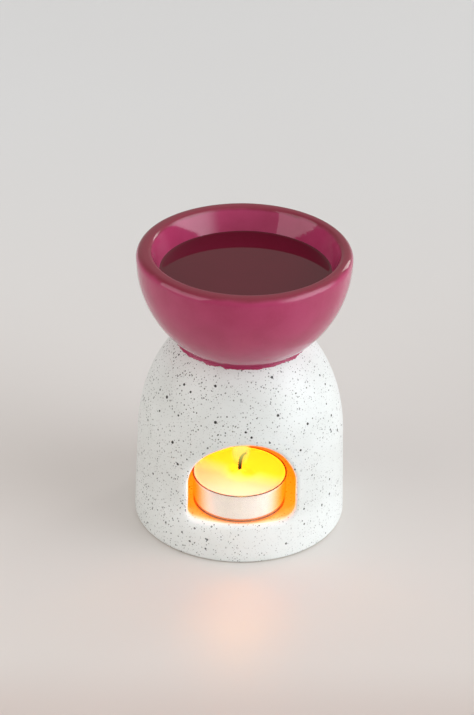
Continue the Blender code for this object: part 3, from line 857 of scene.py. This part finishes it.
def candle_body(mat):
    """Paraffin: dished top with a cone drawn up the wick, and a skin that creeps up the cup."""
    level, dish, moat = CANDLE_LEVEL, 0.15 * MM, 0.25 * MM
    top_r = CUP_R - RIM_OUT - CUP_WALL - 0.02 * MM
    bottom_r = CUP_R - CUP_TAPER - CUP_WALL - 0.05 * MM
    floor = CUP_Z + CUP_HOLLOW + CUP_FLOOR + 0.1 * MM
    bore, creep, edge_z = 0.7 * MM, 0.7 * MM, level + 0.75 * MM
    profile = [(0.0, floor)]
    profile += arc(bottom_r - CUP_CORNER, floor + CUP_CORNER, CUP_CORNER, -PI / 2, 0, 8)
    profile += straight((bottom_r, floor + CUP_CORNER), (top_r, edge_z), spread(0.1, 1.0, 12))
    for r in spread(top_r - 0.12 * MM, top_r - 3 * MM, 10):
        profile.append((r, level + creep * math.exp(-(top_r - r) / creep)))
    for r in spread(top_r - 3 * MM, CONE_R * 2.0, 10)[1:]:
        profile.append((r, level - dish * math.cos(PI * (r / top_r - 0.5))))
    for r in spread(CONE_R * 2.0, CONE_R, 6)[1:]:
        profile.append((r, level - dish - moat * math.sin(PI * (r - CONE_R) / CONE_R)))
    for r in spread(CONE_R, bore, 12)[1:]:
        share = (CONE_R - r) / (CONE_R - bore)
        profile.append((r, level - dish + (CONE_H + dish) * share ** 1.7))
    profile.append((0.0, CANDLE_TOP + 0.05 * MM))
    return turned("candle_body", profile, CANDLE_SEGMENTS, mat, CUP_Y)


def wick_route():
    """Centre line of the wick: straight through the wax, then curled over to +X where it burnt."""
    above_wax = [(0.0, 0.0, -5.0), (0.0, 0.0, 0.0), (0.1, 0.0, 2.6), (0.45, 0.1, 4.8), (1.3, 0.2, 6.3),
                 (2.5, 0.3, 7.2)]
    marks = [(0.0, 0.0, WICK_BOTTOM)]
    marks += [(x * MM, y * MM, CANDLE_TOP + z * MM) for x, y, z in above_wax]
    points = []
    padded = [marks[0]] + marks + [marks[-1]]
    for i in range(1, len(padded) - 2):
        p0, p1, p2, p3 = (Vector(padded[i + n]) for n in (-1, 0, 1, 2))
        for t in spread(0.0, 1.0, 8)[:-1]:
            points.append(0.5 * ((2 * p1) + (p2 - p0) * t + (2 * p0 - 5 * p1 + 4 * p2 - p3) * t ** 2
                                 + (3 * p1 - p0 - 3 * p2 + p3) * t ** 3))
    points.append(Vector(marks[-1]))
    return points


def braided_wick(mat):
    """Three cords twisted round the route, thinner towards the burnt tip."""
    route = wick_route()
    lengths = [0.0]
    for a, b in zip(route, route[1:]):
        lengths.append(lengths[-1] + (b - a).length)
    total, sides, pitch = lengths[-1], CORD_SIDES, 3.4 * MM
    spacing, cord_r = 0.38 * MM, 0.44 * MM
    verts, faces = [], []
    for strand in range(3):
        rings = []
        for i, point in enumerate(route):
            before, after = route[max(0, i - 1)], route[min(len(route) - 1, i + 1)]
            along = (after - before).normalized()
            side = along.cross(Vector((0.0, 1.0, 0.0))).normalized()
            other = along.cross(side)
            turn = 2 * PI * (lengths[i] / pitch + strand / 3)
            thin = 1.0 - 0.42 * float(smooth(total - 4 * MM, total, lengths[i]))
            rough = 1.0 + 0.18 * noise.noise(point / (0.8 * MM) + Vector((strand * 7.0, 0.0, 0.0)))
            centre = point + (side * math.cos(turn) + other * math.sin(turn)) * spacing * thin
            rings.append(list(range(len(verts), len(verts) + sides)))
            for k in range(sides):
                a = 2 * PI * k / sides
                verts.append(centre + (side * math.cos(a) + other * math.sin(a)) * cord_r * thin * rough)
        for a, b in zip(rings, rings[1:]):
            bridge(faces, a, b)
        faces += [tuple(rings[0][::-1]), tuple(rings[-1])]
    return closed_piece("braided_wick", [(v.x, v.y + CUP_Y, v.z) for v in verts], faces, mat)


def flame(mat):
    """Nested teardrops round the wick's tip, leaning a little to +X."""
    verts, faces = [], []
    segments, rows = FLAME_SEGMENTS, 30
    for layer, widest in enumerate(FLAME_SHELLS):
        low = CANDLE_TOP + (0.6 + 0.7 * layer) * MM
        high = FLAME_TOP - 1.5 * layer * MM
        rings = []
        for t in spread(0.002, 0.998, rows - 1):
            swell = widest * math.sin(PI * t ** 0.62) ** 0.85
            rings.append(list(range(len(verts), len(verts) + segments)))
            for j in range(segments):
                x, y, z = around(swell, low + (high - low) * t, 2 * PI * j / segments)
                verts.append((x + 1.0 * MM * t, y + CUP_Y, z))
        for a, b in zip(rings, rings[1:]):
            bridge(faces, a, b)
        faces += [tuple(rings[0][::-1]), tuple(rings[-1])]
    made = closed_piece("flame", verts, faces, mat)
    made.visible_shadow = False
    return made


# ---------- stage, lights and camera ----------

def floor_material():
    """Smooth pale table; its tone is painted shade, warmer and darker towards the front."""
    s = Shader("floor_look")
    coords = s.coords()
    cloud = s.math("MULTIPLY", s.noise(0.25, 2.0, coords), 0.2)
    # Painted shade: the table's tone turns warmer and darker towards the front.
    far = s.ramp(s.axis(1, coords), -0.10, 0.45)
    near = s.ramp(s.axis(1, coords), -0.10, -0.15)
    tone = s.mix(far, (0.780, 0.738, 0.706), (0.775, 0.778, 0.780))
    tone = s.mix(near, tone, (0.68, 0.59, 0.55))
    tone = s.mix(s.ramp(s.axis(1, coords), -0.18, -0.50), tone, (0.40, 0.38, 0.36))
    s.set(Base_Color=s.mix(cloud, tone, (0.70, 0.66, 0.63)))
    s.set(Roughness=0.42, Specular_IOR_Level=0.45)
    return s.mat


def studio_floor():
    """A wide flat table top under the object."""
    half = FLOOR_HALF_W
    verts = [(-half, -half, 0.0), (half, -half, 0.0), (half, half, 0.0), (-half, half, 0.0)]
    floor = mesh_piece("studio_floor", verts, [(0, 1, 2, 3)], floor_material())


def add_lamp(light, place, power, colour, target=None):
    """Puts a light at its place, aimed at the target if there is one."""
    light.energy, light.color = power, colour
    lamp = bpy.data.objects.new(light.name, light)
    lamp.location = place
    if target:
        lamp.rotation_euler = (Vector(target) - Vector(place)).to_track_quat("-Z", "Y").to_euler()
    bpy.context.scene.collection.objects.link(lamp)
    return lamp


def window(name, place, size, power, colour):
    light = bpy.data.lights.new(name, "AREA")
    light.shape = "RECTANGLE"
    light.size, light.size_y = size
    add_lamp(light, place, power, colour, WINDOW_TARGET)


def flame_light():
    """The flame's light on the candle and the chamber."""
    light = bpy.data.lights.new("flame_light", "POINT")
    light.shadow_soft_size = 2.5 * MM
    lamp = add_lamp(light, (0.8 * MM, CUP_Y, CANDLE_TOP + 14 * MM), 0.011, (1.0, 0.60, 0.15))
    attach(lamp, "tealight")
    return lamp


def spill_light():
    """The warm light that falls through the arch on the table in front."""
    light = bpy.data.lights.new("spill_light", "SPOT")
    light.spot_size, light.spot_blend = math.radians(52), 1.0
    light.shadow_soft_size = 3 * MM
    place, target = (0.0, CUP_Y - 16 * MM, CANDLE_TOP + 13 * MM), (0.0, CUP_Y - 54 * MM, 0.0)
    lamp = add_lamp(light, place, 0.020, (1.0, 0.34, 0.01), target)
    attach(lamp, "tealight")


def set_world():
    """A warm dim room with the lobes of light added to it."""
    world = bpy.data.worlds.new("studio")
    world.use_nodes = True
    tree = world.node_tree
    background = tree.nodes["Background"]
    coords = tree.nodes.new("ShaderNodeTexCoord")
    level = tree.nodes.new("ShaderNodeCombineXYZ").outputs["Vector"]
    for socket, value in zip(level.node.inputs, ROOM_LIGHT):
        socket.default_value = value
    for axis, start, full, strength, colour in ROOM_LOBES:
        along = tree.nodes.new("ShaderNodeVectorMath")
        along.operation = "DOT_PRODUCT"
        along.inputs[1].default_value = Vector(axis).normalized()
        tree.links.new(coords.outputs["Generated"], along.inputs[0])
        lobe = tree.nodes.new("ShaderNodeMapRange")
        lobe.interpolation_type = "SMOOTHSTEP"
        for key, value in {"From Min": start, "From Max": full, "To Max": strength}.items():
            lobe.inputs[key].default_value = value
        tree.links.new(along.outputs["Value"], lobe.inputs["Value"])
        total = tree.nodes.new("ShaderNodeVectorMath")
        total.operation = "MULTIPLY_ADD"
        total.inputs[1].default_value = colour
        tree.links.new(lobe.outputs["Result"], total.inputs[0])
        tree.links.new(level, total.inputs[2])
        level = total.outputs["Vector"]
    tree.links.new(level, background.inputs["Color"])
    bpy.context.scene.world = world


def set_camera():
    """Long lens above the object, with a slight roll."""
    data = bpy.data.cameras.new("camera")
    data.sensor_width = 36.0
    data.lens = CAMERA_LENS
    data.clip_start, data.clip_end = 0.01, 20.0
    camera = bpy.data.objects.new("camera", data)
    camera.location = CAMERA_PLACE
    look = (CAMERA_TARGET - CAMERA_PLACE).to_track_quat("-Z", "Y").to_matrix()
    camera.rotation_euler = (look @ Matrix.Rotation(CAMERA_ROLL, 3, "Z")).to_euler()
    bpy.context.scene.collection.objects.link(camera)
    bpy.context.scene.camera = camera
    bpy.context.scene.view_settings.view_transform = "Standard"


def main():
    set_camera()
    set_world()
    studio_floor()
    window("left_window", (-1.02, -0.44, 0.58), (1.20, 0.85), 5.5, (0.98, 0.96, 0.95))
    window("back_window", (0.78, 0.80, 0.42), (0.25, 0.45), 1.3, (1.0, 0.99, 0.97))

    plum = plum_glaze()
    lamp = flame_light()
    pieces = [
        (base_shell(speckled_glaze(lamp)), "melter", "speckled_glaze", "burner_base"),
        (bowl_shell(plum), "melter", "plum_glaze", "wax_bowl"),
        (glaze_collar(plum), "melter", "plum_glaze", "joint_collar"),
        (wax_pool(melted_wax_look()), "melter", "melted_wax", "melted_wax"),
        (tealight_cup(cup_plastic()), "tealight", "cup_plastic", "tealight_cup"),
        (candle_body(candle_wax_look()), "tealight", "candle_wax", "tealight_wax"),
        (braided_wick(charred_cotton()), "tealight", "wick_cotton", "tealight_wick"),
    ]
    for piece, body, slot, node in pieces:
        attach(piece, body)
        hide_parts(node)
    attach(flame(flame_look()), "tealight")
    spill_light()
    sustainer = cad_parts["wick_sustainer"]
    sustainer.data.materials.clear()
    sustainer.data.materials.append(sustainer_metal())


main()
